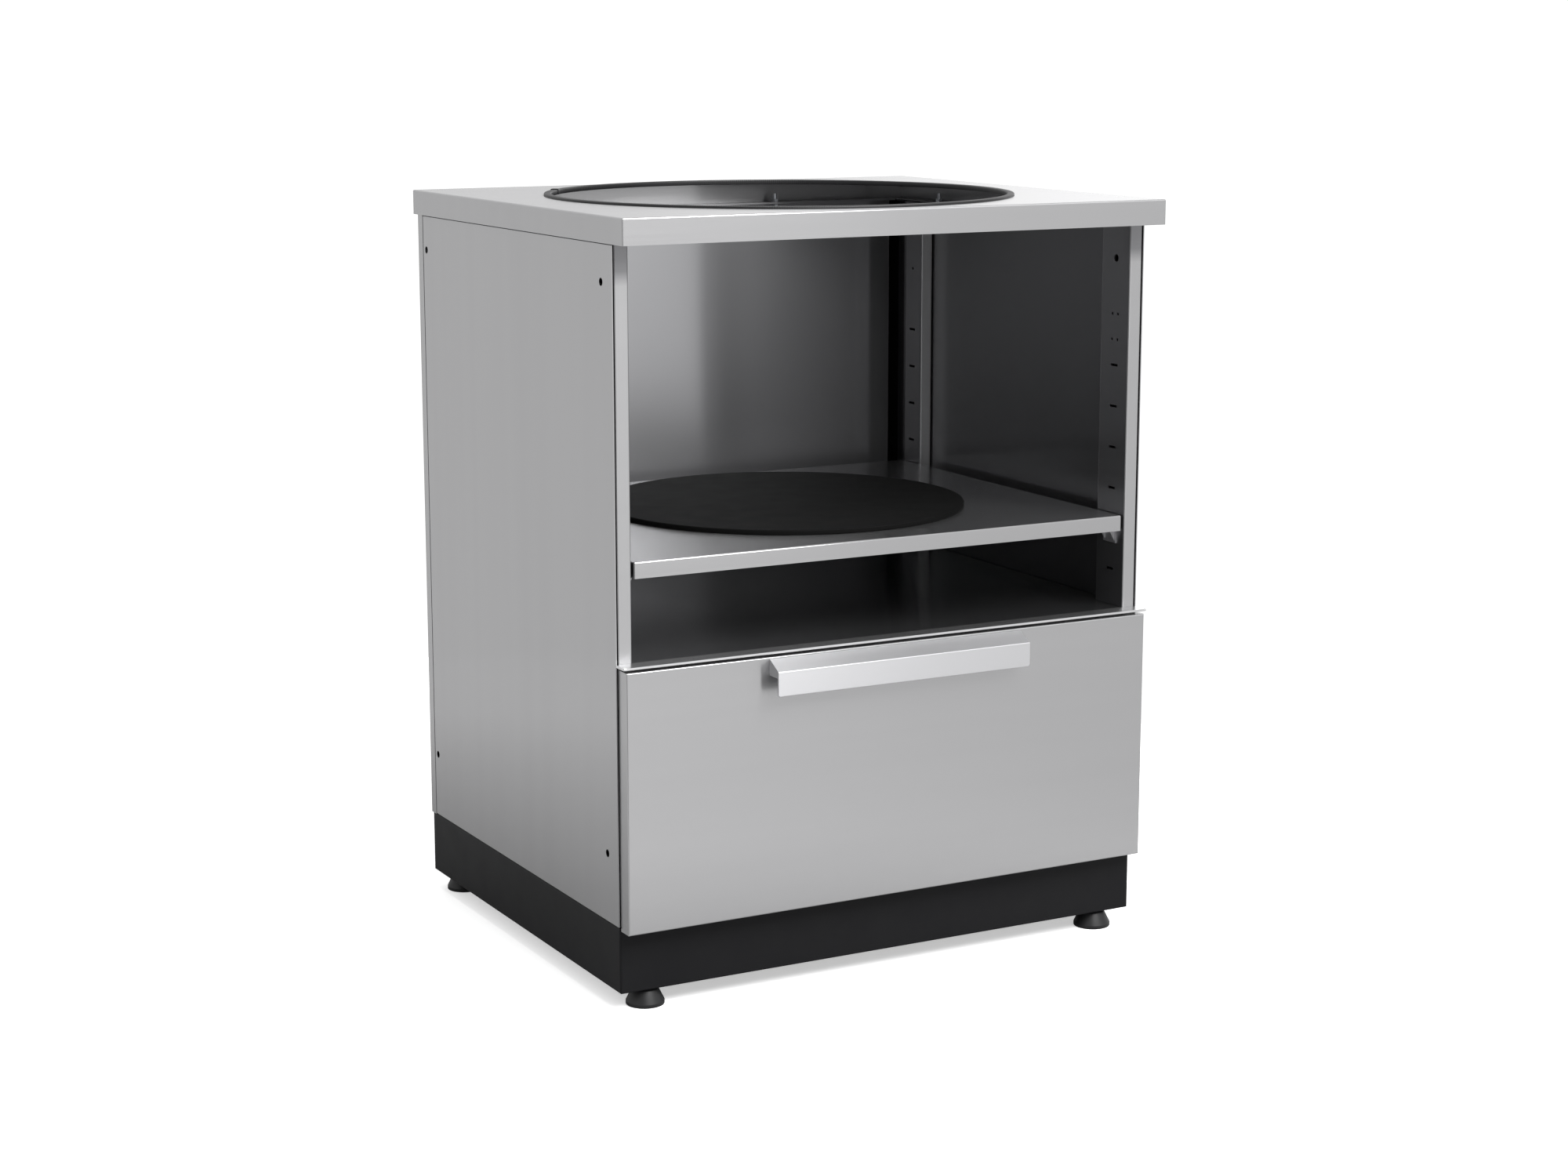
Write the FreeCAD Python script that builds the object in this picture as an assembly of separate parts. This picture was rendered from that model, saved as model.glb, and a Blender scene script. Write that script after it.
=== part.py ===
import FreeCAD, Part
import math
import os
from FreeCAD import Vector

os.makedirs("parts", exist_ok=True)

# Kamado grill table: a folded stainless-steel cabinet with a round cut-out in its worktop.
# Millimetres. X runs to the right, Y to the back and Z up. The origin is under the middle of the
# object, on the floor, with the levelling feet wound fully in.

# Overall sizes
worktop_width = 711.0
worktop_depth = 610.0
worktop_height = 902.0
worktop_edge = 30.0
worktop_return = 20.0
side_overhang = 4.5
front_overhang = 37.0
rear_overhang = 3.0
base_height = 78.0
foot_height = 22.0
sheet = 1.2
bend_radius = 2.0
fit_gap = 0.3
touch_gap = 0.2

# Round cut-out and its edging
cutout_margin = 20.0
trim_width = 9.0
cutout_clearance = 3.0
trim_lip = 3.0
trim_web = 1.8
trim_grip = 0.1
trim_low_round = 0.8
trim_top_round = 1.2
joiner_length = 9.0
joiner_wall = 1.0
joiner_round = 0.6
joiner_angle = 140.0

# Side and back panels
panel_fold = 1.8
panel_flange = 20.0
flange_recess = 1.5
back_wrap = 18.0
panel_gap = 0.4

# Posts, slots and holes
stile_width = 20.0
stile_groove = 2.6
front_post_depth = 58.0
rear_post_depth = 40.5
rear_post_inset = 49.25
post_return = 12.0
post_flange = 14.0
slot_first = 350.0
slot_pitch = 50.0
slot_count = 6
slot_length = 14.0
slot_height = 3.0
rear_slot_inset = 22.0
joining_hole_radius = 4.5
joining_hole_inset = 28.0
joining_hole_drop = 43.0
joining_hole_rise = 82.0
small_hole_radius = 1.8
small_hole_drops = (110.0, 141.0)
small_hole_spread = 11.4
rear_hole_drop = 90.0

# Deck and its rail
deck_level = 406.0
deck_lip = 3.0
deck_lip_round = 1.2
deck_rear_flange = 20.0
deck_side_flange = 12.0
rail_height = 24.0
rail_top_flange = 22.0
rail_low_flange = 16.0

# Base frame
base_sheet = 1.5
base_flange = 30.0
base_side_inset = 1.5
base_corner_round = 3.0
base_rear_inset = 1.5
bracket_length = 75.0
bracket_width = 60.0
bracket_thickness = 3.0
front_foot_side_inset = 40.0
front_foot_inset = 20.0
rear_foot_side_inset = 30.0
rear_foot_inset = 30.0
foot_hole_clearance = 1.5

# Levelling feet
pad_radius = 22.5
pad_rim = 3.5
pad_rim_round = 1.0
pad_neck_radius = 10.0
pad_neck_height = 3.0
pad_floor = 8.0
stem_radius = 4.9
stem_length = 64.0
thread_clearance = 0.1
nut_flats = 17.0
nut_height = 8.0

# Shelf, its clips and the round mat
shelf_side_gap = 3.5
shelf_lip = 19.0
shelf_return = 10.0
shelf_front_inset = 0.5
shelf_rear_gap = 0.3
shelf_slot = 1
stiffener_crown = 30.0
stiffener_brim = 12.0
stiffener_depth = 14.0
stiffener_spacing = 200.0
clip_width = 26.0
clip_sheet = 1.4
clip_reach = 10.0
clip_drop = 17.5
cheek_spacing = 20.0
hook_width = 12.0
hook_drop = 8.0
mat_radius = 225.0
mat_thickness = 6.0
mat_edge_round = 1.5
mat_centre_x = 6.0
mat_centre_y = 6.0

# Drawer front, box and handle
drawer_front_reveal = 2.5
drawer_front_thickness = 21.0
drawer_front_drop = 3.0
drawer_lip_gap = 3.0
drawer_back_gap = 1.0
front_edge_round = 1.5
liner_edge = 12.0
drawer_box_height = 227.0
drawer_box_rise = 15.6
drawer_box_past_slide = 2.0
drawer_hem = 12.0
hem_round = 1.1
drawer_flange = 15.0
corner_notch = 3.0
handle_length = 338.0
handle_reach = 21.5
handle_head = 19.0
handle_slope_drop = 11.5
handle_height = 40.0
handle_top_drop = 2.0
handle_wall = 2.4
handle_corner = 3.5
handle_rounds = (0.5, 1.5, 0.8, 0.8, 1.5, 0.0)
handle_screw_inset = 49.0
bumper_radius = 5.0
bumper_inset = 10.0
bumper_corner = 14.0

# Slides
slide_space = 12.7
slide_level = 230.0
slide_setback = 2.0
slide_rear_space = 68.0
slide_wall = 1.2
outer_half = 23.0
outer_depth = 10.5
middle_half = 18.4
middle_depth = 8.2
middle_side_gap = 1.8
inner_half = 13.6
inner_depth = 6.0
ball_clearance = 0.1
cage_share = 0.4
cage_start_share = 0.3
cage_thickness = 0.8
cage_width = 4.6
balls_per_row = 3

# Fasteners
bolt_radius = 2.5
bolt_clearance = 0.25
bolt_head_height = 3.5
bolt_flats = 8.0
bolt_end_above_nut = 7.0
bolt_nut_height = 4.0
bolt_side_inset = 11.5
bolt_rear_inset = 12.0
bolt_spacing = 380.0
rear_bolt_spacing = 300.0
screw_radius = 2.0
screw_clearance = 0.2
screw_head_radius = 4.0
screw_head_height = 1.6
screw_length = 9.0
short_screw_length = 3.2
base_screw_spacing = 300.0
base_screw_inset = 13.0
base_screw_front_inset = 15.0
slide_screw_inset = 40.0
front_screw_shares = (0.15, 0.5, 0.85)
drill_reach = 4.0

# Levels and planes that follow from the sizes
x_top = worktop_width / 2
x_body = x_top - side_overhang
x_skin = x_body - sheet
x_post = x_body - stile_width
x_flange = x_skin - touch_gap
x_base = x_body - base_side_inset
x_box = x_post - slide_space
x_drawer = x_body - drawer_front_reveal
x_shelf = x_post - shelf_side_gap
z_base = foot_height
z_body = z_base + base_height
z_frame = worktop_height - worktop_edge
z_floor = z_body + 2 * sheet
z_post_top = z_frame - sheet - touch_gap
handle_past_worktop = drawer_back_gap + drawer_front_thickness + handle_reach - front_overhang
y_top_back = (worktop_depth + handle_past_worktop) / 2
y_top_front = y_top_back - worktop_depth
y_cut = (y_top_front + y_top_back) / 2
y_face = y_top_front + front_overhang
y_back = y_top_back - rear_overhang
y_seam = y_back - back_wrap
y_wall = y_back - sheet
y_rear_post = y_back - rear_post_inset - rear_post_depth
y_base_back = y_back - base_rear_inset
y_slide_front = y_face + slide_setback
y_slide_back = y_back - slide_rear_space
trim_outer_radius = worktop_depth / 2 - cutout_margin
trim_inner_radius = trim_outer_radius - trim_width
cutout_radius = trim_inner_radius + cutout_clearance
z_slots = [z_body + slot_first + slot_pitch * i for i in range(slot_count)]
y_front_slot = y_face + joining_hole_inset
y_rear_slot = y_rear_post + rear_slot_inset
z_joining = (z_frame - joining_hole_drop, z_body + joining_hole_rise)
y_joining = (y_face + joining_hole_inset, y_back - joining_hole_inset)
z_seat = z_slots[shelf_slot] + clip_sheet / 2
z_shelf_low = z_seat + touch_gap
z_shelf = z_shelf_low + shelf_lip
y_shelf_front = y_face + shelf_front_inset
y_shelf_back = y_rear_post + rear_post_depth - shelf_rear_gap
y_drawer_back = y_face - drawer_back_gap
y_drawer_face = y_drawer_back - drawer_front_thickness
z_drawer_low = z_body - drawer_front_drop
z_drawer_top = deck_level - deck_lip - drawer_lip_gap
z_box_low = z_floor + drawer_box_rise
z_box_top = z_box_low + drawer_box_height
y_box_front = y_drawer_back + touch_gap
y_box_back = y_slide_back + drawer_box_past_slide
handle_top = z_drawer_top - handle_top_drop
along_x = Vector(1, 0, 0)
along_y = Vector(0, 1, 0)
along_z = Vector(0, 0, 1)


def block(x, y, z):
    """Solid between two limits along each axis."""
    low = Vector(min(x), min(y), min(z))
    size = Vector(max(x), max(y), max(z)) - low
    return Part.makeBox(size.x, size.y, size.z, low)


def rod(radius, start, end):
    """Round bar between two points."""
    axis = end - start
    return Part.makeCylinder(radius, axis.Length, start, axis)


def drilled(shape, radius, places, axis, reach=drill_reach):
    """The shape with a round hole at each place, reaching as far on both sides of it."""
    for place in places:
        shape = shape.cut(rod(radius, place - axis * reach, place + axis * reach))
    return shape


def on_plane(plane, u, v, w):
    """Point of a section: xy, xz or yz, at w along the third axis."""
    if plane == "xy":
        return Vector(u, v, w)
    if plane == "xz":
        return Vector(u, w, v)
    return Vector(w, u, v)


def outline_face(outline, radii, plane, at):
    """Closed outline with its corners rounded to the given radii."""
    count = len(outline)
    starts, ends, arcs = [], [], []
    for i, (u, v) in enumerate(outline):
        before = outline[i - 1]
        after = outline[(i + 1) % count]
        corner = Vector(u, v, 0)
        back = (Vector(before[0], before[1], 0) - corner).normalize()
        ahead = (Vector(after[0], after[1], 0) - corner).normalize()
        half = back.getAngle(ahead) / 2
        if radii[i] > 0:
            run = radii[i] / math.tan(half)
            centre = corner + (back + ahead).normalize() * (radii[i] / math.sin(half))
            starts.append(corner + back * run)
            ends.append(corner + ahead * run)
            arcs.append(centre + (corner - centre).normalize() * radii[i])
        else:
            starts.append(corner)
            ends.append(corner)
            arcs.append(None)
    edges = []
    for i in range(count):
        corner_start = on_plane(plane, starts[i].x, starts[i].y, at)
        corner_end = on_plane(plane, ends[i].x, ends[i].y, at)
        if arcs[i]:
            middle = on_plane(plane, arcs[i].x, arcs[i].y, at)
            edges.append(Part.Arc(corner_start, middle, corner_end).toShape())
        following = starts[(i + 1) % count]
        edges.append(Part.makeLine(corner_end, on_plane(plane, following.x, following.y, at)))
    return Part.Face(Part.Wire(edges))


def prism(outline, plane, start, end, radii=None):
    """Outline carried from start to end along the third axis."""
    face = outline_face(outline, radii or [0] * len(outline), plane, start)
    return face.extrude(on_plane(plane, 0, 0, end - start))


def folded(path, plane, start, end, thickness=sheet, bend=bend_radius):
    """Folded sheet: the path is its outer face, and its thickness lies to the path's left."""
    inner_bend = max(bend - thickness, 0)
    directions = []
    for a, b in zip(path, path[1:]):
        directions.append(Vector(b[0] - a[0], b[1] - a[1], 0).normalize())
    inner, outer_radii, inner_radii = [], [], []
    for i, (u, v) in enumerate(path):
        first = directions[max(i - 1, 0)]
        second = directions[min(i, len(directions) - 1)]
        left_first = Vector(-first.y, first.x, 0)
        left_second = Vector(-second.y, second.x, 0)
        mitre = (left_first + left_second) * (thickness / (1 + left_first.dot(left_second)))
        inner.append((u + mitre.x, v + mitre.y))
        turn = first.cross(second).z
        ends_here = i in (0, len(path) - 1)
        outer_radii.append(0 if ends_here else bend if turn > 0 else inner_bend)
        inner_radii.append(0 if ends_here else inner_bend if turn > 0 else bend)
    return prism(list(path) + inner[::-1], plane, start, end, outer_radii + inner_radii[::-1])


def mirrored(shape):
    """The same piece for the left side."""
    return shape.mirror(Vector(0, 0, 0), along_x)


def both_sides(shapes):
    """Pieces of the right side together with their left copies."""
    return list(shapes) + [mirrored(s) for s in shapes]


def round_edges(shape, radius, wanted):
    """Fillet on the straight edges whose middle the test accepts."""
    edges = []
    for edge in shape.Edges:
        middle = (edge.Vertexes[0].Point + edge.Vertexes[-1].Point) * 0.5
        if wanted(middle):
            edges.append(edge)
    return shape.makeFillet(radius, edges)


def hexagon(flats, seat, height):
    """Upright hexagonal bar, measured across its flats."""
    radius = flats / math.sqrt(3)
    angles = [math.radians(60 * i) for i in range(6)]
    corners = [(seat.x + radius * math.cos(a), seat.y + radius * math.sin(a)) for a in angles]
    return prism(corners, "xy", seat.z, seat.z + height)


def hex_nut(flats, bore_radius, seat, height):
    """Hexagonal nut with a plain bore."""
    return drilled(hexagon(flats, seat, height), bore_radius, [seat], along_z, 2 * height)


def screw(seat, direction, length=screw_length):
    """Pan-head screw: its head stands back from the seat and its shank runs along direction."""
    head = rod(screw_head_radius, seat - direction * screw_head_height, seat)
    return head.fuse(rod(screw_radius, seat, seat + direction * length)).removeSplitter()


def save(name, shape):
    """Write one node, alone or as a group of solids."""
    if isinstance(shape, list):
        shape = Part.makeCompound(shape)
    if not shape.isValid():
        print("not valid:", name)
    shape.exportStep("parts/%s.step" % name)
    print("%-26s %3d solid %9.1f cm3" % (name, len(shape.Solids), shape.Volume / 1000))


# Places of the bolts and screws that go through more than one piece
bolt_places = []
base_screw_places = []
for side in (-1, 1):
    for end in (-1, 1):
        y = y_cut + end * bolt_spacing / 2
        bolt_places.append(Vector(side * (x_top - bolt_side_inset), y, z_frame))
        y = end * base_screw_spacing / 2
        base_screw_places.append(Vector(side * (x_body - base_screw_inset), y, z_body))
    bolt_places.append(Vector(side * rear_bolt_spacing / 2, y_back - bolt_rear_inset, z_frame))
    base_screw_places.append(Vector(side * base_screw_spacing / 2, y_face + base_screw_front_inset, z_body))
bolt_hole_radius = bolt_radius + bolt_clearance
screw_hole_radius = screw_radius + screw_clearance
cabinet_screw_places = []
for y in (y_face + joining_hole_inset, y_rear_post + rear_slot_inset / 2):
    cabinet_screw_places.append(Vector(x_post, y, slide_level))
drawer_screw_places = []
for y in (y_slide_front + slide_screw_inset, y_slide_back - slide_screw_inset):
    drawer_screw_places.append(Vector(x_box, y, slide_level))
handle_screw_places = []
front_screw_places = []
for side in (-1, 1):
    x = side * (handle_length / 2 - handle_screw_inset)
    handle_screw_places.append(Vector(x, y_drawer_face + sheet, handle_top - handle_head / 2))
    for share in front_screw_shares:
        z = z_box_low + drawer_box_height * share
        front_screw_places.append(Vector(side * (x_box - drawer_flange / 2), y_box_front + sheet, z))


def open_tray(x_half, y_front, y_rear, z_low, z_high, inturn):
    """Sheet tray, open below: a top, four sides and an inward return along their foot."""
    tray = block((-x_half, x_half), (y_front, y_rear), (z_low, z_high))
    tray = round_edges(tray, bend_radius, lambda p: p.z > z_low + sheet)
    x_in = x_half - sheet
    y_in = (y_front + sheet, y_rear - sheet)
    tray = tray.cut(block((-x_in, x_in), y_in, (z_low + sheet, z_high - sheet)))
    mouth_x = x_in - inturn
    mouth_y = (y_in[0] + inturn, y_in[1] - inturn)
    return tray.cut(block((-mouth_x, mouth_x), mouth_y, (z_low - sheet, z_low + 2 * sheet)))


def make_worktop():
    """One folded tray with a round cut-out."""
    tray = open_tray(x_top, y_top_front, y_top_back, z_frame, worktop_height, worktop_return)
    tray = drilled(tray, cutout_radius, [Vector(0, y_cut, worktop_height)], along_z, worktop_edge)
    return drilled(tray, bolt_hole_radius, bolt_places, along_z)


def turned(section, radii, degrees=360.0, start_angle=0.0):
    """Section of radius and height, turned about the cut-out's axis."""
    face = outline_face(section, radii, "xz", 0)
    face.rotate(Vector(0, 0, 0), along_z, start_angle)
    solid = face.revolve(Vector(0, 0, 0), along_z, degrees)
    solid.translate(Vector(0, y_cut, 0))
    return solid


z_lip_low = worktop_height + trim_grip
z_lip_top = worktop_height + trim_lip


def make_trim():
    """Rubber edging: a channel that grips the cut-out's rim."""
    z_under = worktop_height - sheet - trim_grip
    z_low = z_under - trim_web
    r_web = trim_inner_radius + trim_web
    section = [
        (trim_inner_radius, z_low),
        (trim_outer_radius, z_low),
        (trim_outer_radius, z_under),
        (r_web, z_under),
        (r_web, z_lip_low),
        (trim_outer_radius, z_lip_low),
        (trim_outer_radius, z_lip_top),
        (trim_inner_radius, z_lip_top),
    ]
    rounds = [trim_low_round, trim_low_round, 0, 0, 0, 0, trim_top_round, trim_top_round]
    return turned(section, rounds)


def make_joiner():
    """Cap over the place where the edging's two ends meet."""
    r_low = trim_inner_radius + joiner_wall
    r_join = trim_outer_radius + touch_gap
    z_join = z_lip_top + touch_gap
    section = [
        (r_low, z_join),
        (r_join, z_join),
        (r_join, z_lip_low),
        (r_join + joiner_wall, z_lip_low),
        (r_join + joiner_wall, z_join + joiner_wall),
        (r_low, z_join + joiner_wall),
    ]
    degrees = math.degrees(joiner_length / trim_outer_radius)
    return turned(section, [0, 0, 0, 0, joiner_round, 0], degrees, joiner_angle)


save("worktop", make_worktop())
save("cutout_trim", make_trim())
save("trim_joiner", make_joiner())


def make_side_panel():
    """Right side: flanged above and below, and joggled in behind the back's wrap."""
    joggle = sheet + touch_gap
    path = [
        (x_body, y_face),
        (x_body, y_seam),
        (x_body - joggle, y_seam + joggle),
        (x_body - joggle, y_wall - fit_gap),
    ]
    panel = folded(path, "xy", z_body, z_frame)
    x_flange_edge = x_body - panel_flange
    for z in ((z_frame - sheet, z_frame), (z_body, z_body + sheet)):
        panel = panel.fuse(block((x_flange_edge, x_skin), (y_face + flange_recess, y_seam), z))
    panel = panel.removeSplitter()
    section = [(x_flange_edge, z_body), (x_body, z_body), (x_body, z_frame), (x_flange_edge, z_frame)]
    panel = panel.common(prism(section, "xz", y_face, y_back, [0, panel_fold, panel_fold, 0]))
    joining = [Vector(x_skin, y, z) for y in y_joining for z in z_joining]
    panel = drilled(panel, joining_hole_radius, joining, along_x)
    panel = drilled(panel, bolt_hole_radius, bolt_places, along_z)
    return drilled(panel, screw_hole_radius, base_screw_places, along_z)


def make_back_panel():
    """One sheet wrapped round both rear corners, with a flange under the worktop."""
    y_edge = y_seam + sheet + panel_gap
    path = [(x_body, y_edge), (x_body, y_back), (-x_body, y_back), (-x_body, y_edge)]
    panel = folded(path, "xy", z_body, z_frame)
    flange_x = x_body - panel_flange - fit_gap
    flange_y = (y_wall - panel_flange, y_wall)
    panel = panel.fuse(block((-flange_x, flange_x), flange_y, (z_frame - sheet, z_frame)))
    return drilled(panel.removeSplitter(), bolt_hole_radius, bolt_places, along_z)


right_side_panel = make_side_panel()
save("right_side_panel", right_side_panel)
save("left_side_panel", mirrored(right_side_panel))
save("back_panel", make_back_panel())


def make_post(y_post, depth, y_slot):
    """Right corner post: a folded channel that faces the front, with slots for the shelf clips."""
    x_stile = x_body - stile_groove
    x_rear = x_flange - sheet
    path = [
        (x_rear, y_post + depth + post_flange),
        (x_rear, y_post + depth),
        (x_post, y_post + depth),
        (x_post, y_post),
        (x_stile, y_post),
        (x_stile, y_post + post_return),
    ]
    post = folded(path, "xy", z_floor, z_post_top)
    for z in z_slots:
        slot_y = (y_slot - slot_length / 2, y_slot + slot_length / 2)
        slot_z = (z - slot_height / 2, z + slot_height / 2)
        post = post.cut(block((x_post - sheet, x_post + 2 * sheet), slot_y, slot_z))
    return drilled(post, screw_hole_radius, cabinet_screw_places, along_x)


front_post = make_post(y_face, front_post_depth, y_front_slot)
joining_holes = [Vector(x_post, y_joining[0], z) for z in z_joining]
front_post = drilled(front_post, joining_hole_radius, joining_holes, along_x)
small_holes = []
for drop in small_hole_drops:
    for end in (-1, 1):
        small_holes.append(Vector(x_post, y_front_slot + end * small_hole_spread / 2, z_frame - drop))
front_post = drilled(front_post, small_hole_radius, small_holes, along_x)
rear_post = make_post(y_rear_post, rear_post_depth, y_rear_slot)
rear_hole = Vector(x_post, y_rear_slot, z_frame - rear_hole_drop)
rear_post = drilled(rear_post, small_hole_radius, [rear_hole], along_x)
save("front_right_post", front_post)
save("front_left_post", mirrored(front_post))
save("rear_right_post", rear_post)
save("rear_left_post", mirrored(rear_post))


def make_deck():
    """Floor of the open bay, notched round the posts, with a hemmed lip over the drawer front."""
    x_deck = x_flange - sheet - fit_gap
    y_deck_back = y_wall - touch_gap
    z_under = deck_level - sheet
    y_between = (y_face + front_post_depth + fit_gap, y_rear_post - fit_gap)
    deck = block((-x_deck, x_deck), (y_drawer_face, y_deck_back), (z_under, deck_level))
    y_flange = (y_deck_back - sheet, y_deck_back)
    deck = deck.fuse(block((-x_deck, x_deck), y_flange, (deck_level - deck_rear_flange, deck_level)))
    for side in (-1, 1):
        x_notch = (side * (x_post - fit_gap), side * x_top)
        for y, depth in ((y_face, front_post_depth), (y_rear_post, rear_post_depth)):
            deck = deck.cut(block(x_notch, (y - fit_gap, y + depth + fit_gap), (z_body, z_frame)))
        x_flange_limits = (side * (x_deck - sheet), side * x_deck)
        deck = deck.fuse(block(x_flange_limits, y_between, (deck_level - deck_side_flange, deck_level)))
    lip = block((-x_body, x_body), (y_drawer_face, y_face - fit_gap), (deck_level - deck_lip, deck_level))
    lip = round_edges(lip, deck_lip_round, lambda p: p.y < y_drawer_face + sheet and abs(p.x) < x_post)
    return deck.fuse(lip).removeSplitter()


def make_deck_rail():
    """Channel across the front that carries the deck over the drawer."""
    z_top = deck_level - sheet - touch_gap
    y_web = y_face + fit_gap
    path = [
        (y_web + rail_top_flange, z_top),
        (y_web, z_top),
        (y_web, z_top - rail_height),
        (y_web + rail_low_flange, z_top - rail_height),
    ]
    half = x_post - touch_gap
    return folded(path, "yz", -half, half)


def make_bottom_panel():
    """Floor of the drawer's space, standing on the side panels' lower flanges."""
    z = (z_body + sheet, z_floor)
    x_rear = x_flange - sheet - touch_gap
    y_joggle = y_seam - bend_radius
    panel = block((-x_flange, x_flange), (y_face + sheet + fit_gap, y_joggle), z)
    panel = panel.fuse(block((-x_rear, x_rear), (y_joggle, y_wall - touch_gap), z)).removeSplitter()
    return drilled(panel, screw_hole_radius, base_screw_places, along_z)


save("deck", make_deck())
save("deck_rail", make_deck_rail())
save("bottom_panel", make_bottom_panel())

# Base frame: four mitred channels with a bracket and a nut over each foot
foot_places = {}
for side, word in ((-1, "left"), (1, "right")):
    front_x = side * (x_base - front_foot_side_inset)
    rear_x = side * (x_base - rear_foot_side_inset)
    foot_places["front_" + word] = Vector(front_x, y_face + front_foot_inset, 0)
    foot_places["rear_" + word] = Vector(rear_x, y_base_back - rear_foot_inset, 0)
foot_centres = list(foot_places.values())
stem_bore = stem_radius + thread_clearance


def mitred_channel(length):
    """Channel along X with its web on the plane y = 0, open to the back, mitred at both ends."""
    half = length / 2
    z_high = z_body - touch_gap
    path = [(base_flange, z_high), (0, z_high), (0, z_base), (base_flange, z_base)]
    rail = folded(path, "yz", -half, half, base_sheet)
    end = half - touch_gap / 2
    mitre = [(-end, 0), (end, 0), (end - base_flange, base_flange), (-end + base_flange, base_flange)]
    return rail.common(prism(mitre, "xy", z_base - base_sheet, z_body + base_sheet))


def make_base_rail(turn, length, out):
    """One side of the base frame, turned about the frame's middle."""
    rail = mitred_channel(length)
    rail.translate(Vector(0, -out, 0))
    rail.rotate(Vector(0, 0, 0), along_z, turn)
    rail.translate(Vector(0, (y_base_back + y_face) / 2, 0))
    rail = rail.common(prism(base_outline, "xy", z_base, z_body, [base_corner_round] * 4))
    rail = drilled(rail, stem_radius + foot_hole_clearance, foot_centres, along_z, z_base + bracket_thickness)
    return drilled(rail, screw_hole_radius, base_screw_places, along_z)


base_width = 2 * x_base
base_depth = y_base_back - y_face
base_outline = [(-x_base, y_face), (x_base, y_face), (x_base, y_base_back), (-x_base, y_base_back)]
save("base_front_rail", make_base_rail(0, base_width, base_depth / 2))
save("base_right_rail", make_base_rail(90, base_depth, base_width / 2))
save("base_rear_rail", make_base_rail(180, base_width, base_depth / 2))
save("base_left_rail", make_base_rail(270, base_depth, base_width / 2))

z_bracket = z_base + base_sheet + touch_gap
z_nut = z_bracket + bracket_thickness


def make_foot_bracket(name, place):
    """Plate across a corner of the base frame, tapped for the foot's stem."""
    side = math.copysign(1, place.x)
    x_corner = side * (x_base - base_sheet - touch_gap)
    inset = base_sheet + touch_gap
    if name.startswith("front"):
        y = (y_face + inset, y_face + inset + bracket_width)
    else:
        y = (y_base_back - inset - bracket_width, y_base_back - inset)
    plate = block((x_corner, x_corner - side * bracket_length), y, (z_bracket, z_nut))
    return drilled(plate, stem_bore, [place + along_z * z_bracket], along_z)


def make_pad(place):
    """Moulded conical pad with a socket for the stem."""
    z_top = z_base - fit_gap
    section = [
        (0, 0),
        (pad_radius, 0),
        (pad_radius, pad_rim),
        (pad_neck_radius, z_base - pad_neck_height),
        (pad_neck_radius, z_top),
        (stem_bore, z_top),
        (stem_bore, pad_floor),
        (0, pad_floor),
    ]
    pad = outline_face(section, [0, 0, pad_rim_round, 0, 0, 0, 0, 0], "xz", 0)
    pad = pad.revolve(Vector(0, 0, 0), along_z, 360)
    pad.translate(place)
    return pad


save("foot_brackets", [make_foot_bracket(name, place) for name, place in foot_places.items()])
save("foot_nuts", [hex_nut(nut_flats, stem_bore, p + along_z * z_nut, nut_height) for p in foot_centres])
for name, place in foot_places.items():
    stem_low = place + along_z * (pad_floor + thread_clearance)
    save("foot_pad_" + name, make_pad(place))
    save("foot_stem_" + name, rod(stem_radius, stem_low, stem_low + along_z * stem_length))


def make_stiffener(y_mid):
    """Hat section across the shelf, under its top sheet."""
    z_high = z_shelf - sheet - touch_gap
    crown = stiffener_crown / 2
    brim = crown + stiffener_brim
    path = [
        (y_mid + brim, z_high),
        (y_mid + crown, z_high),
        (y_mid + crown, z_high - stiffener_depth),
        (y_mid - crown, z_high - stiffener_depth),
        (y_mid - crown, z_high),
        (y_mid - brim, z_high),
    ]
    half = x_shelf - sheet - fit_gap
    return folded(path, "yz", -half, half)


def make_clip(y_slot):
    """Right shelf clip: a seat on two cheeks, with a hook that drops behind its slot."""
    x_wall = x_post - touch_gap / 2
    x_tip = x_wall - clip_reach
    x_hook = x_post + sheet + touch_gap
    z_low = z_seat - clip_sheet
    z_foot = z_seat - clip_drop
    y_seat = (y_slot - clip_width / 2, y_slot + clip_width / 2)
    y_hook = (y_slot - hook_width / 2, y_slot + hook_width / 2)
    clip = block((x_tip, x_wall), y_seat, (z_low, z_seat))
    clip = clip.fuse(block((x_wall - clip_sheet, x_wall), y_seat, (z_foot, z_seat)))
    clip = clip.fuse(block((x_wall, x_hook + clip_sheet), y_hook, (z_low, z_seat)))
    clip = clip.fuse(block((x_hook, x_hook + clip_sheet), y_hook, (z_seat - hook_drop, z_seat)))
    cheek = [(x_tip, z_seat), (x_wall, z_seat), (x_wall, z_foot)]
    for y in (y_slot - cheek_spacing / 2, y_slot + cheek_spacing / 2):
        clip = clip.fuse(prism(cheek, "xz", y - clip_sheet / 2, y + clip_sheet / 2))
    return clip.removeSplitter()


def make_mat():
    """Round heat-resistant mat, rounded along both rims."""
    base = Vector(mat_centre_x, mat_centre_y, z_shelf + touch_gap)
    mat = Part.makeCylinder(mat_radius, mat_thickness, base)
    return mat.makeFillet(mat_edge_round, [e for e in mat.Edges if e.Closed])


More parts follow.
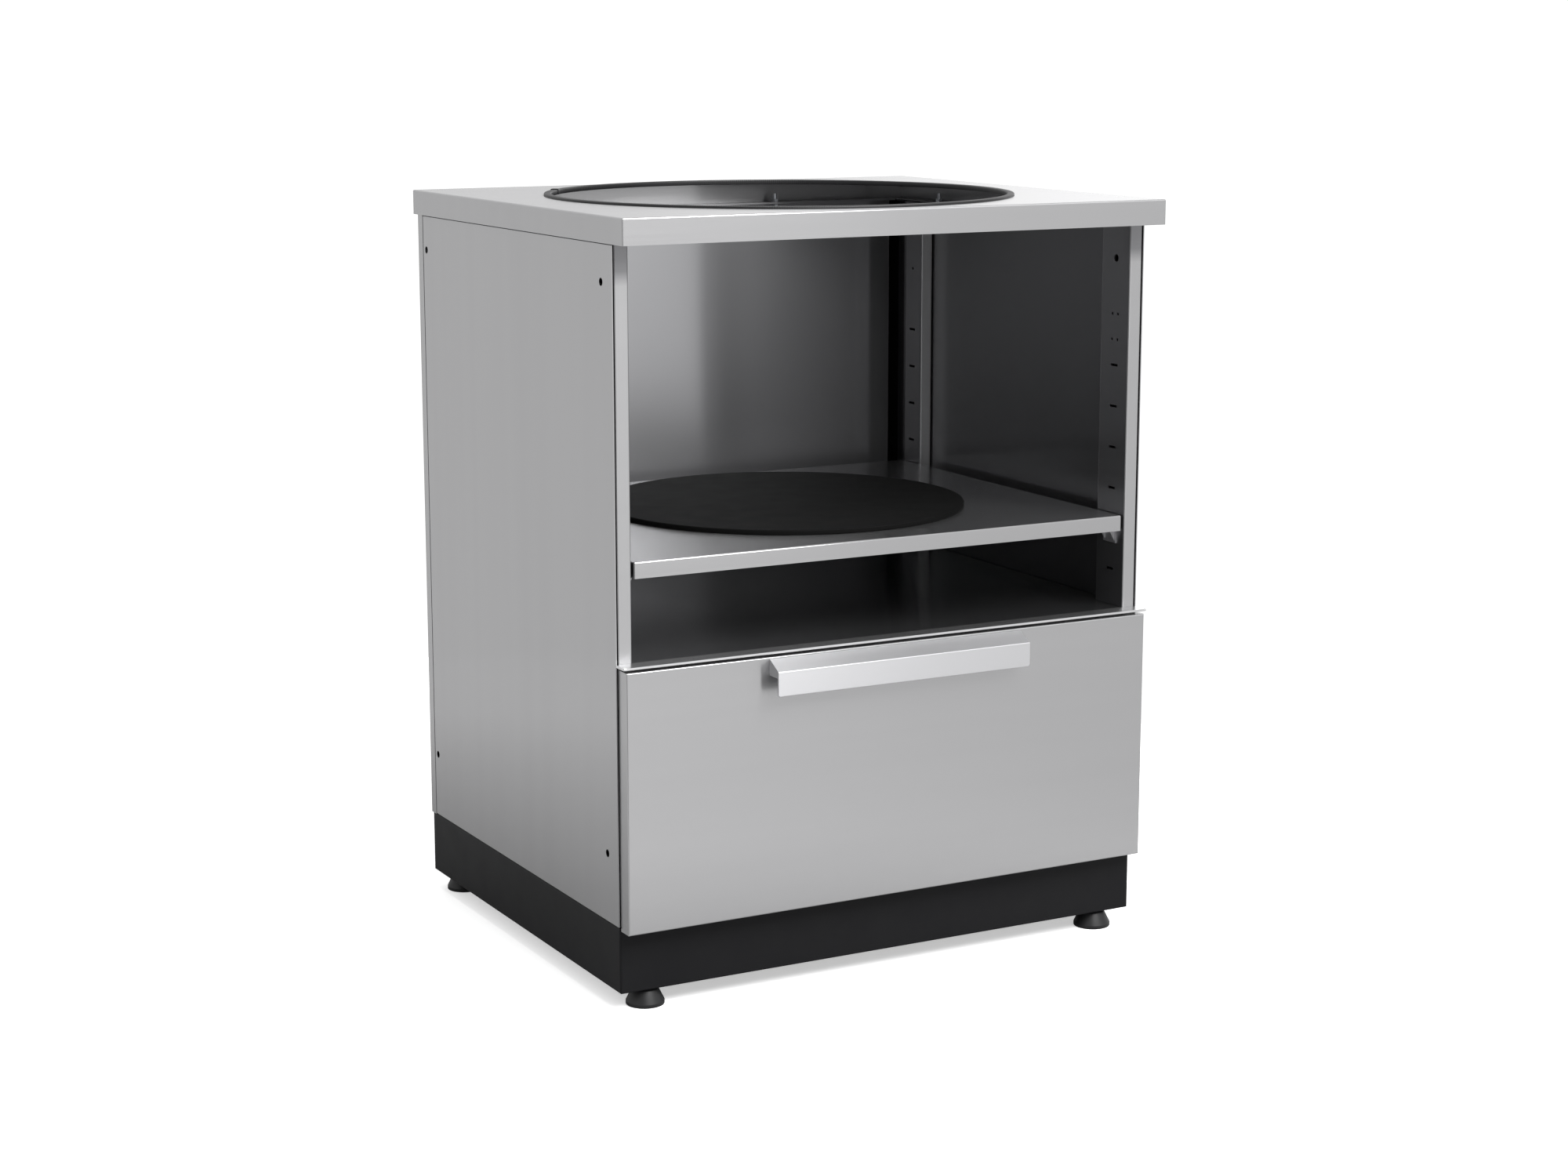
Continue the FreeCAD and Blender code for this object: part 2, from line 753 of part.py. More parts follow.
y_shelf_middle = (y_shelf_front + y_shelf_back) / 2
shelf = open_tray(x_shelf, y_shelf_front, y_shelf_back, z_shelf_low, z_shelf, shelf_return)
save("shelf", shelf)
save("shelf_stiffeners", [make_stiffener(y_shelf_middle + s * stiffener_spacing / 2) for s in (-1, 1)])
for word, y_slot in (("front", y_front_slot), ("rear", y_rear_slot)):
    clip = make_clip(y_slot)
    save("shelf_clip_%s_right" % word, clip)
    save("shelf_clip_%s_left" % word, mirrored(clip))
save("heat_mat", make_mat())


def make_drawer_front():
    """Outer skin of the drawer front, open at the back."""
    skin = block((-x_drawer, x_drawer), (y_drawer_face, y_drawer_back), (z_drawer_low, z_drawer_top))
    skin = round_edges(skin, front_edge_round, lambda p: p.y < y_drawer_face + sheet)
    x_in = x_drawer - sheet
    z_in = (z_drawer_low + sheet, z_drawer_top - sheet)
    skin = skin.cut(block((-x_in, x_in), (y_drawer_face + sheet, y_drawer_back + sheet), z_in))
    return drilled(skin, screw_hole_radius, handle_screw_places, along_y)


def make_liner():
    """Tray that closes the back of the drawer front and carries the box."""
    x_out = x_drawer - sheet - touch_gap
    z_out = (z_drawer_low + sheet + touch_gap, z_drawer_top - sheet - touch_gap)
    x_in = x_out - sheet
    z_in = (z_out[0] + sheet, z_out[1] - sheet)
    y_edge = y_drawer_back - liner_edge
    y_plate = y_drawer_back - sheet
    liner = block((-x_out, x_out), (y_edge, y_drawer_back), z_out)
    liner = liner.cut(block((-x_in, x_in), (y_edge - sheet, y_plate), z_in))
    driver_holes = [Vector(p.x, y_plate, p.z) for p in handle_screw_places]
    liner = drilled(liner, 2 * screw_head_radius, driver_holes, along_y)
    return drilled(liner, screw_hole_radius, front_screw_places, along_y)


def make_drawer_side():
    """Right side of the drawer box: a flat hem above, and flanges below and in front, notched apart."""
    x_hem = x_box + sheet
    y = (y_box_front, y_box_back)
    y_notched = (y_box_front + corner_notch, y_box_back)
    z_notched = (z_box_low + corner_notch, z_box_top)
    side = block((x_box - sheet, x_box), y, (z_box_low, z_box_top))
    side = side.fuse(block((x_box - sheet, x_hem), y, (z_box_top - drawer_hem, z_box_top)))
    side = side.fuse(block((x_box - drawer_flange, x_box), y_notched, (z_box_low, z_box_low + sheet)))
    side = side.fuse(block((x_box - drawer_flange, x_box), (y_box_front, y_box_front + sheet), z_notched))
    side = side.removeSplitter()
    side = round_edges(side, hem_round, lambda p: min(p.z - z_box_top, p.x - x_hem) > -touch_gap)
    side = drilled(side, screw_hole_radius, front_screw_places, along_y)
    return drilled(side, screw_hole_radius, drawer_screw_places, along_x)


def make_handle():
    """Extruded pull: a solid sloping head with a leg to take the fingers."""
    y_out = y_drawer_face - handle_reach
    z_low = handle_top - handle_height
    z_head = handle_top - handle_head
    y_leg = y_out + handle_wall
    section = [
        (y_drawer_face, handle_top),
        (y_out, handle_top - handle_slope_drop),
        (y_out, z_low),
        (y_leg, z_low),
        (y_leg, z_head),
        (y_drawer_face, z_head),
    ]
    half = handle_length / 2
    bar = prism(section, "yz", -half, half, handle_rounds)
    z_over = handle_top + handle_wall
    end_view = [(-half, z_low), (half, z_low), (half, z_over), (-half, z_over)]
    end_rounds = [handle_corner, handle_corner, 0, 0]
    bar = bar.common(prism(end_view, "xz", y_out - handle_wall, y_drawer_face, end_rounds))
    return drilled(bar, screw_radius + thread_clearance, handle_screw_places, along_y, screw_length + sheet)


def make_bumper(side, z):
    """Soft button between the drawer front and a post."""
    seat = Vector(side * (x_drawer - bumper_inset), y_drawer_back, z)
    return rod(bumper_radius, seat, seat + along_y * (drawer_back_gap - fit_gap))


x_inside = x_box - sheet - touch_gap
z_bottom = z_box_low + sheet + touch_gap
y_bottom = (y_box_front + sheet + touch_gap, y_box_back - touch_gap)
drawer_bottom = block((-x_inside, x_inside), y_bottom, (z_bottom, z_bottom + sheet))
back_path = [
    (x_inside, y_box_back - drawer_flange),
    (x_inside, y_box_back),
    (-x_inside, y_box_back),
    (-x_inside, y_box_back - drawer_flange),
]
drawer_back = folded(back_path, "xy", z_bottom + sheet + touch_gap, z_box_top - sheet - touch_gap)
right_side = make_drawer_side()
bumper_levels = (z_drawer_low + bumper_corner, z_drawer_top - bumper_corner)
save("drawer_front", make_drawer_front())
save("drawer_front_liner", make_liner())
save("drawer_right_side", right_side)
save("drawer_left_side", mirrored(right_side))
save("drawer_bottom", drawer_bottom)
save("drawer_back", drawer_back)
save("drawer_handle", make_handle())
save("drawer_bumpers", both_sides([make_bumper(1, z) for z in bumper_levels]))


def channel_member(x_web, x_lip, half):
    """C-section along Y: its web starts at x_web and its lips reach to x_lip."""
    inward = math.copysign(slide_wall, x_lip - x_web)
    y = (y_slide_front, y_slide_back)
    member = block((x_web, x_web + inward), y, (slide_level - half, slide_level + half))
    for end in (-1, 1):
        z = (slide_level + end * half, slide_level + end * (half - slide_wall))
        member = member.fuse(block((x_web, x_lip), y, z))
    return member.removeSplitter()


def make_middle_member():
    """Two channels back to back, with one web."""
    x_out = x_post - middle_side_gap
    x_in = x_out - middle_depth
    x_web = (x_out + x_in) / 2
    member = channel_member(x_web - slide_wall / 2, x_out, middle_half)
    return member.fuse(channel_member(x_web + slide_wall / 2, x_in, middle_half)).removeSplitter()


def make_cage(x_row, outside, inside):
    """Two strips of balls, above and below, rolling between two members' lips."""
    race = (outside + inside) / 2
    ball_radius = (outside - inside) / 2 - ball_clearance
    length = cage_share * (y_slide_back - y_slide_front)
    y_start = y_slide_front + cage_start_share * (y_slide_back - y_slide_front)
    pieces = []
    for end in (-1, 1):
        z = slide_level + end * race
        x = (x_row - cage_width / 2, x_row + cage_width / 2)
        strip = block(x, (y_start, y_start + length), (z - cage_thickness / 2, z + cage_thickness / 2))
        for i in range(balls_per_row):
            centre = Vector(x_row, y_start + length * (i + 0.5) / balls_per_row, z)
            strip = strip.cut(Part.makeSphere(ball_radius + ball_clearance / 2, centre))
            pieces.append(Part.makeSphere(ball_radius, centre))
        pieces.append(strip)
    return pieces


outer_member = channel_member(x_post, x_post - outer_depth, outer_half)
outer_member = drilled(outer_member, screw_hole_radius, cabinet_screw_places, along_x)
inner_member = channel_member(x_box, x_box + inner_depth, inner_half)
inner_member = drilled(inner_member, screw_hole_radius, drawer_screw_places, along_x)
middle_member = make_middle_member()
x_outer_row = x_post - slide_wall - cage_width / 2 - fit_gap
x_inner_row = x_box + slide_wall + cage_width / 2 + touch_gap
outer_cage = make_cage(x_outer_row, outer_half - slide_wall, middle_half)
inner_cage = make_cage(x_inner_row, middle_half - slide_wall, inner_half)
save("right_slide_outer", outer_member)
save("left_slide_outer", mirrored(outer_member))
save("right_slide_middle", middle_member)
save("left_slide_middle", mirrored(middle_member))
save("right_slide_inner", inner_member)
save("left_slide_inner", mirrored(inner_member))
save("right_outer_cage", outer_cage)
save("left_outer_cage", [mirrored(s) for s in outer_cage])
save("right_inner_cage", inner_cage)
save("left_inner_cage", [mirrored(s) for s in inner_cage])


def make_worktop_bolt(place):
    """Hexagon bolt from under the panel's flange up into the worktop."""
    z_seat_under = z_frame - sheet
    z_end = z_frame + sheet + bolt_nut_height + bolt_end_above_nut
    head = hexagon(bolt_flats, Vector(place.x, place.y, z_seat_under - bolt_head_height), bolt_head_height)
    shank = rod(bolt_radius, Vector(place.x, place.y, z_seat_under), Vector(place.x, place.y, z_end))
    return head.fuse(shank).removeSplitter()


def make_worktop_nut(place):
    """Nut on the worktop's inward return."""
    return hex_nut(bolt_flats, bolt_radius + thread_clearance, place + along_z * sheet, bolt_nut_height)


inward = along_x * -1
cabinet_screws = [screw(p - along_x * slide_wall, along_x) for p in cabinet_screw_places]
drawer_screws = [screw(p + along_x * slide_wall, inward, short_screw_length) for p in drawer_screw_places]
save("worktop_bolts", [make_worktop_bolt(p) for p in bolt_places])
save("worktop_nuts", [make_worktop_nut(p) for p in bolt_places])
save("slide_screws_cabinet", both_sides(cabinet_screws))
save("slide_screws_drawer", both_sides(drawer_screws))
save("handle_screws", [screw(p, along_y * -1) for p in handle_screw_places])
save("drawer_front_screws", [screw(p, along_y * -1, short_screw_length) for p in front_screw_places])
save("base_screws", [screw(p + along_z * 2 * sheet, along_z * -1) for p in base_screw_places])
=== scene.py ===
import math

import bmesh
import bpy
import numpy as np
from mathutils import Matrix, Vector


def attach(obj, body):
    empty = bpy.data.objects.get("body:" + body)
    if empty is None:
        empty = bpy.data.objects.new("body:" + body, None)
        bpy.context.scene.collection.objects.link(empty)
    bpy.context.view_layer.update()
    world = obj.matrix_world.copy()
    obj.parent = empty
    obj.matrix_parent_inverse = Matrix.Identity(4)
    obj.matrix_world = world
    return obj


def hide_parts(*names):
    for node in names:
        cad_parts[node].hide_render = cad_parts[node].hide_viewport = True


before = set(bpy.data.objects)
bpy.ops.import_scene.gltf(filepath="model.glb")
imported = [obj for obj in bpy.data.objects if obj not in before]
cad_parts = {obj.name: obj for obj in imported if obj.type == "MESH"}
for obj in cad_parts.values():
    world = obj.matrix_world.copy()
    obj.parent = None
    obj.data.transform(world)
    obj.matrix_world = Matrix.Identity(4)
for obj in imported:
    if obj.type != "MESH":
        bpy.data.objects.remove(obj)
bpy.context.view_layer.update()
scene = bpy.context.scene

# The frame is in metres.
mm = 0.001

# Camera. It stands in front and to the left of the cabinet at about chest height and looks slightly
# down, with a longer lens than normal, as a catalogue photographer would.
camera_place = (-1.681, -3.109, 1.106)
camera_turn = 28.47
camera_pitch = 11.06
camera_lens = 66.35
camera_sensor = 36.0

camera_data = bpy.data.cameras.new("catalogue_camera")
camera_data.sensor_fit = "HORIZONTAL"
camera_data.sensor_width = camera_sensor
camera_data.lens = camera_lens
camera = bpy.data.objects.new("catalogue_camera", camera_data)
camera.location = camera_place
camera.rotation_euler = (math.radians(90 - camera_pitch), 0, math.radians(-camera_turn))
scene.collection.objects.link(camera)
scene.camera = camera
scene.view_settings.view_transform = "Standard"

# Studio. The cabinet stands on a round of smooth white floor in a pale room. The room is brightest
# behind it on the right and dark where the photographer stands. One soft lamp hangs in front.
floor_radius = 1.35
floor_centre = (-0.35, 0.35)
floor_points = 96
floor_white = "#FAFAFA"
floor_mirrored = "#A4A4A4"
floor_far = "#DCDCDC"
far_from = 0.5
far_full = 1.4
floor_corner = "#8C8C8C"
corner_way = (-0.6, -0.8, 0)
corner_from = 0.9
corner_full = 1.3
floor_lift = 0.5
glow_most = 0.5
glow_way = (0.4, -0.9, 0)
glow_from = 0.3
glow_full = 1.0
floor_rough = 0.9
floor_gloss = 0.1
roller_peel = 2 * mm
peel_depth = 0.1 * mm
peel_strength = 0.02
lamp_size = 2.4
lamp_power = 190.0
lamp_place = (0.5, -2.6, 3.2)
lamp_aim = (0, 0, 0.4)
backdrop = 1.1
room_heights = ((-1.0, 0.8), (0.0, 0.82), (0.3, 0.9), (0.6, 1.0), (0.85, 1.0), (1.0, 0.4))
dark_stripe = {"turn": 222, "wide": 14.5, "full": 10.5, "value": 0.02}
front_stripe = {"turn": 160, "wide": 20, "full": 5, "value": 1.2}
rear_stripe = {"turn": 48.6, "wide": 23, "full": 9, "value": 2.4}
rear_fade_low = 0.25
rear_fade_high = 0.5


def linear(hex_colour):
    """sRGB hex to linear: v / 12.92 up to 0.04045, and above that ((v + 0.055) / 1.055) to the power 2.4."""
    value = np.array([int(hex_colour[i : i + 2], 16) for i in (1, 3, 5)]) / 255
    curve = np.where(value <= 0.04045, value / 12.92, ((value + 0.055) / 1.055) ** 2.4)
    return (*curve, 1.0)


def connect(tree, node, sockets):
    """Sets each of a node's sockets to a value, or links it to another node's output."""
    for name, value in sockets.items():
        if isinstance(value, bpy.types.NodeSocket):
            tree.links.new(value, node.inputs[name])
        else:
            node.inputs[name].default_value = value


def add_node(tree, kind, sockets=None, **settings):
    """Adds a node, gives it its settings, and sets or links its sockets."""
    made = tree.nodes.new(kind)
    for name, value in settings.items():
        setattr(made, name, value)
    connect(tree, made, sockets or {})
    return made


def new_material(name):
    """Empty material with its surface shader and output, and its tree."""
    material = bpy.data.materials.new(name)
    material.use_nodes = True
    tree = material.node_tree
    tree.nodes.clear()
    shader = add_node(tree, "ShaderNodeBsdfPrincipled")
    add_node(tree, "ShaderNodeOutputMaterial", {"Surface": shader.outputs[0]})
    return material, tree, shader


# White emulsion, rolled on: dull, with a fine orange peel. The camera sees it lifted to white. The steel
# mirrors it as a grey
# painted with light and shade: paler far out, darker at the front left corner, and with a painted glow in
# front.
floor_material, tree, shader = new_material("white_painted_floor")
place = add_node(tree, "ShaderNodeTexCoord").outputs["Object"]
peel = add_node(tree, "ShaderNodeTexNoise", {"Vector": place, "Scale": 1 / roller_peel, "Detail": 1.0})
seen = add_node(tree, "ShaderNodeLightPath").outputs["Is Camera Ray"]
away = add_node(tree, "ShaderNodeVectorMath", {0: place}, operation="LENGTH").outputs["Value"]
far = add_node(tree, "ShaderNodeMapRange", {"Value": away, "From Min": far_from, "From Max": far_full})
mirrored = add_node(
    tree,
    "ShaderNodeMixRGB",
    {"Fac": far.outputs[0], "Color1": linear(floor_mirrored), "Color2": linear(floor_far)},
)
toward = add_node(tree, "ShaderNodeVectorMath", {0: place, 1: corner_way}, operation="DOT_PRODUCT")
in_corner = add_node(
    tree,
    "ShaderNodeMapRange",
    {"Value": toward.outputs["Value"], "From Min": corner_from, "From Max": corner_full},
)
mirrored = add_node(
    tree,
    "ShaderNodeMixRGB",
    {"Fac": in_corner.outputs[0], "Color1": mirrored.outputs[0], "Color2": linear(floor_corner)},
)
paint = add_node(
    tree,
    "ShaderNodeMixRGB",
    {"Fac": seen, "Color1": mirrored.outputs[0], "Color2": linear(floor_white)},
)
ahead = add_node(tree, "ShaderNodeVectorMath", {0: place, 1: glow_way}, operation="DOT_PRODUCT")
glow = add_node(
    tree,
    "ShaderNodeMapRange",
    {"Value": ahead.outputs["Value"], "From Min": glow_from, "From Max": glow_full, "To Max": glow_most},
)
lift = add_node(tree, "ShaderNodeMix", {0: seen, 2: glow.outputs[0], 3: floor_lift}, data_type="FLOAT")
relief = add_node(
    tree,
    "ShaderNodeBump",
    {"Height": peel.outputs[0], "Strength": peel_strength, "Distance": peel_depth},
)
connect(
    tree,
    shader,
    {
        "Base Color": paint.outputs[0],
        "Normal": relief.outputs[0],
        "Roughness": floor_rough,
        "Specular IOR Level": floor_gloss,
        "Emission Color": linear(floor_white),
        "Emission Strength": lift.outputs[0],
    },
)

# The floor is a flat disc. Each point of its rim is the centre plus the radius times the cosine of the
# angle in x, and times the sine in y.
angles = np.linspace(0, 2 * np.pi, floor_points, endpoint=False)
floor_x = floor_centre[0] + np.cos(angles) * floor_radius
floor_y = floor_centre[1] + np.sin(angles) * floor_radius
floor_rim = np.stack([floor_x, floor_y, 0 * angles], axis=1)
floor_mesh = bpy.data.meshes.new("studio_floor")
floor_mesh.from_pydata(floor_rim.tolist(), [], [list(range(floor_points))])
floor_mesh.materials.append(floor_material)
floor = bpy.data.objects.new("studio_floor", floor_mesh)
scene.collection.objects.link(floor)

lamp_data = bpy.data.lights.new("soft_lamp", "AREA")
lamp_data.shape = "SQUARE"
lamp_data.size = lamp_size
lamp_data.energy = lamp_power
lamp = bpy.data.objects.new("soft_lamp", lamp_data)
lamp.location = lamp_place
lamp.rotation_euler = (Vector(lamp_aim) - Vector(lamp_place)).to_track_quat("-Z", "Y").to_euler()
scene.collection.objects.link(lamp)

# Pale painted room: its walls get brighter from the floor up and go dark straight overhead. The camera
# sees an even white backdrop instead.
world = bpy.data.worlds.new("pale_room")
world.use_nodes = True
tree = world.node_tree
tree.nodes.clear()
look = add_node(tree, "ShaderNodeTexCoord").outputs["Generated"]
height = add_node(tree, "ShaderNodeSeparateXYZ", {"Vector": look}).outputs["Z"]
level = add_node(tree, "ShaderNodeMapRange", {"Value": height, "From Min": -1.0, "From Max": 1.0})
walls = add_node(tree, "ShaderNodeValToRGB", {"Fac": level.outputs[0]})
stops = walls.color_ramp.elements
while len(stops) < len(room_heights):
    stops.new(0.5)
for stop, (up, bright) in zip(stops, room_heights):
    stop.position = (up + 1) / 2
    stop.color = (bright, bright, bright, 1)
flat_look = add_node(tree, "ShaderNodeVectorMath", {0: look, 1: (1, 1, 0)}, operation="MULTIPLY").outputs[0]
compass = add_node(tree, "ShaderNodeVectorMath", {0: flat_look}, operation="NORMALIZE").outputs[0]


def stripe(turn, wide, full, value):
    """Factor for an upright stripe of the room. It goes from 1 to a value as the way looked at, seen
    from above, comes from wide to full degrees of the turn, which is clockwise from straight back."""
    way = (math.sin(math.radians(turn)), math.cos(math.radians(turn)), 0)
    dot = add_node(tree, "ShaderNodeVectorMath", {0: compass, 1: way}, operation="DOT_PRODUCT")
    near, most = math.cos(math.radians(wide)), math.cos(math.radians(full))
    ends = {"From Min": near, "From Max": most, "To Min": 1.0, "To Max": value}
    return add_node(tree, "ShaderNodeMapRange", {"Value": dot.outputs["Value"], **ends}).outputs[0]


dark = stripe(**dark_stripe)
front = stripe(**front_stripe)
rear = stripe(**rear_stripe)
fade_ends = {"From Min": rear_fade_low, "From Max": rear_fade_high}
upward = add_node(tree, "ShaderNodeMapRange", {"Value": height, **fade_ends}).outputs[0]
rear = add_node(tree, "ShaderNodeMix", {0: upward, 2: rear, 3: 1.0}, data_type="FLOAT").outputs[0]
room = walls.outputs[0]
for factor in (dark, front, rear):
    room = add_node(tree, "ShaderNodeMath", {0: room, 1: factor}, operation="MULTIPLY").outputs[0]
seen = add_node(tree, "ShaderNodeLightPath").outputs["Is Camera Ray"]
strength = add_node(tree, "ShaderNodeMix", {0: seen, 2: room, 3: backdrop}, data_type="FLOAT")
room_light = add_node(tree, "ShaderNodeBackground", {"Color": (1, 1, 1, 1), "Strength": strength.outputs[0]})
add_node(tree, "ShaderNodeOutputWorld", {"Surface": room_light.outputs[0]})
scene.world = world

# Worktop. One sheet of 1.2 mm stainless steel, folded down and in along its four edges and welded
# and dressed at the corners. It is satin brushed from left to right.
steel_light = "#B4B4B5"
steel_deep = "#B0B0B1"
steel_rough = 0.17
steel_veil = 0.35
veil_rough = 0.5
line_width = 0.4 * mm
line_length = 300 * mm
line_depth = 0.03 * mm
line_strength = 0.02
line_gloss = 0.02
line_lean = 0.02
line_low = 0.35
line_high = 0.65
band_width = 30 * mm
band_length = 1500 * mm
fold_limit = 0.7


def brushed_steel(
    name, grain, light=steel_light, deep=steel_deep, rough=steel_rough, veil=steel_veil, painted_light_and_shade=()
):
    """Satin stainless steel, belt brushed along the grain: fine lines, soft bands, and mirrored shapes
    drawn out across the lines. The lines are 0.4 mm wide, because the real 0.2 mm is too fine to show.

    Rough is for the sharp gloss, and veil is the share that scatters widely. Each entry of painted light and
    shade is two corners of a box in mm, mirrored over the middle, the painted colour that stands in for
    shade or light on the sheet inside it, and the mm in which that fades out. Its share at a point is 1 less
    the distance outside the box over that length."""
    material, tree, shader = new_material(name)
    along = np.array(grain, float)
    across = along[[2, 1, 0]]
    place = add_node(tree, "ShaderNodeTexCoord").outputs["Object"]
    facing = add_node(tree, "ShaderNodeNewGeometry").outputs["Normal"]
    toward = add_node(tree, "ShaderNodeVectorMath", {0: facing, 1: tuple(along)}, operation="DOT_PRODUCT")
    size = add_node(tree, "ShaderNodeMath", {0: toward.outputs["Value"]}, operation="ABSOLUTE").outputs[0]
    folded = add_node(tree, "ShaderNodeMath", {0: size, 1: fold_limit}, operation="GREATER_THAN").outputs[0]

    def drawn_out(width, length, detail):
        """Noise of cells that are one length along the grain and one width across it. The grain turns
        where the sheet is folded over."""
        noises = []
        for way in (along, across):
            scale = np.where(way > 0.5, 1 / length, 1 / width)
            stretched = add_node(tree, "ShaderNodeMapping", {"Vector": place, "Scale": tuple(scale)})
            noise = add_node(
                tree, "ShaderNodeTexNoise", {"Vector": stretched.outputs[0], "Scale": 1.0, "Detail": detail}
            )
            noises.append(noise.outputs[0])
        mixed = add_node(tree, "ShaderNodeMix", {0: folded, 2: noises[0], 3: noises[1]}, data_type="FLOAT")
        return mixed.outputs[0]

    lines = drawn_out(line_width, line_length, 2.0)
    bands = drawn_out(band_width, band_length, 1.0)
    colour = add_node(
        tree, "ShaderNodeMixRGB", {"Fac": bands, "Color1": linear(light), "Color2": linear(deep)}
    ).outputs[0]
    apart = add_node(tree, "ShaderNodeSeparateXYZ", {"Vector": place}).outputs
    off_middle = add_node(tree, "ShaderNodeMath", {0: apart["X"]}, operation="ABSOLUTE").outputs[0]
    halved = {"X": off_middle, "Y": apart["Y"], "Z": apart["Z"]}
    at = add_node(tree, "ShaderNodeCombineXYZ", halved).outputs[0]
    # Painted light and shade: each box's colour is mixed over the sheet's own.
    for low, high, tone, fade in painted_light_and_shade:
        low, high = tuple(np.array(low) * mm), tuple(np.array(high) * mm)
        under = add_node(tree, "ShaderNodeVectorMath", {0: low, 1: at}, operation="SUBTRACT").outputs[0]
        over = add_node(tree, "ShaderNodeVectorMath", {0: at, 1: high}, operation="SUBTRACT").outputs[0]
        off = add_node(tree, "ShaderNodeVectorMath", {0: under, 1: over}, operation="MAXIMUM").outputs[0]
        off = add_node(tree, "ShaderNodeVectorMath", {0: off, 1: (0, 0, 0)}, operation="MAXIMUM").outputs[0]
        away = add_node(tree, "ShaderNodeVectorMath", {0: off}, operation="LENGTH").outputs["Value"]
        ends = {"From Max": fade * mm, "To Min": 1.0, "To Max": 0.0}
        within = add_node(tree, "ShaderNodeMapRange", {"Value": away, **ends}).outputs[0]
        colour = add_node(
            tree, "ShaderNodeMixRGB", {"Fac": within, "Color1": colour, "Color2": linear(tone)}
        ).outputs[0]
    gloss = add_node(
        tree,
        "ShaderNodeMapRange",
        {
            "Value": lines,
            "From Min": line_low,
            "From Max": line_high,
            "To Min": rough - line_gloss,
            "To Max": rough + line_gloss,
        },
    )
    relief = add_node(
        tree, "ShaderNodeBump", {"Height": lines, "Strength": line_strength, "Distance": line_depth}
    )
    sideways = add_node(
        tree,
        "ShaderNodeVectorMath",
        {0: facing, 1: tuple(along + line_lean * across)},
        operation="CROSS_PRODUCT",
    )
    connect(
        tree,
        shader,
        {
            "Base Color": colour,
            "Metallic": 1.0,
            "Roughness": gloss.outputs[0],
            "Anisotropic": 1.0,
            "Tangent": sideways.outputs[0],
            "Normal": relief.outputs[0],
        },
    )
    wide = add_node(
        tree, "ShaderNodeBsdfPrincipled", {"Base Color": colour, "Metallic": 1.0, "Roughness": veil_rough}
    )
    both = add_node(tree, "ShaderNodeMixShader", {0: veil, 1: shader.outputs[0], 2: wide.outputs[0]})
    tree.links.new(both.outputs[0], tree.nodes["Material Output"].inputs["Surface"])
    return material


def finish_node(node, material):
    """Gives a CAD node its material."""
    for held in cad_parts[node].material_slots:
        held.material = material


# Satin brushed stainless steel with its grain from left to right: pale, with reflections that are drawn
# out upright and break up along the lines.
steel_across = brushed_steel("satin_steel_across", (1, 0, 0))
finish_node("worktop", steel_across)

# Edging of the cut-out. A channel of ribbed black EPDM rubber is pushed over the sheet's edge, with a
# rounded bead on top and a short sleeve over the place where its two ends meet.
cut_centre = np.array([0, 3.25]) * mm
edging_inner = 276 * mm
edging_outer = 285 * mm
sheet_top = 902 * mm
sheet_gauge = 1.2 * mm
sheet_gap = 0.1 * mm
channel_wall = 1.8 * mm
lip_setback = 1 * mm
bead_gap = 0.05 * mm
bead_height = 3.0 * mm
edging_arc_points = 4
rib_count = 640
rib_points = 4
rib_depth = 0.28 * mm
rib_from_height = 0.5 * mm
rib_wall_width = 0.2 * mm
rubber_black = "#101011"
rubber_dust = "#18181A"
rubber_rough = 0.42
rubber_grit = 0.7 * mm
rubber_gloss = 0.4
polymer_ior = 1.5
worn_patch = 40 * mm
worn_gloss = 0.06
grit_height = 0.1
grit_strength = 0.25
merge_distance = 0.002 * mm
sharp_angle = 38


def rounded(corners, radii, points):
    """Outline through the corners, each cut by an arc of its radius that touches both sides and has
    that many points: its centre is on the corner's bisector, at radius / sin(half the angle)."""
    corners = np.array(corners, float)
    radii = np.array(radii, float)
    back = np.roll(corners, 1, axis=0) - corners
    ahead = np.roll(corners, -1, axis=0) - corners
    back /= np.linalg.norm(back, axis=1, keepdims=True)
    ahead /= np.linalg.norm(ahead, axis=1, keepdims=True)
    half = np.arccos(np.clip((back * ahead).sum(axis=1), -1, 1)) / 2
    middle = back + ahead
    middle /= np.linalg.norm(middle, axis=1, keepdims=True)
    centre = corners + middle * (radii / np.sin(half))[:, None]
    first = corners + back * (radii / np.tan(half))[:, None] - centre
    last = corners + ahead * (radii / np.tan(half))[:, None] - centre
    start = np.arctan2(first[:, 1], first[:, 0])
    turn = (np.arctan2(last[:, 1], last[:, 0]) - start + np.pi) % (2 * np.pi) - np.pi
    angle = start[:, None] + turn[:, None] * np.linspace(0, 1, points)
    arc = centre[:, None] + radii[:, None, None] * np.stack([np.cos(angle), np.sin(angle)], axis=-1)
    return arc.reshape(-1, 2)


def ring(outline, turns):
    """Points of an outline of radius and height at each angle about the cut-out's middle: x is
    radius times cosine, y is radius times sine, and z is the height. The outline may differ by angle."""
    outline = np.broadcast_to(outline, (len(turns), *outline.shape[-2:]))
    radius, height = outline[..., 0], outline[..., 1]
    x = cut_centre[0] + radius * np.cos(turns)[:, None]
    y = cut_centre[1] + radius * np.sin(turns)[:, None]
    return np.stack([x, y, height], axis=-1)


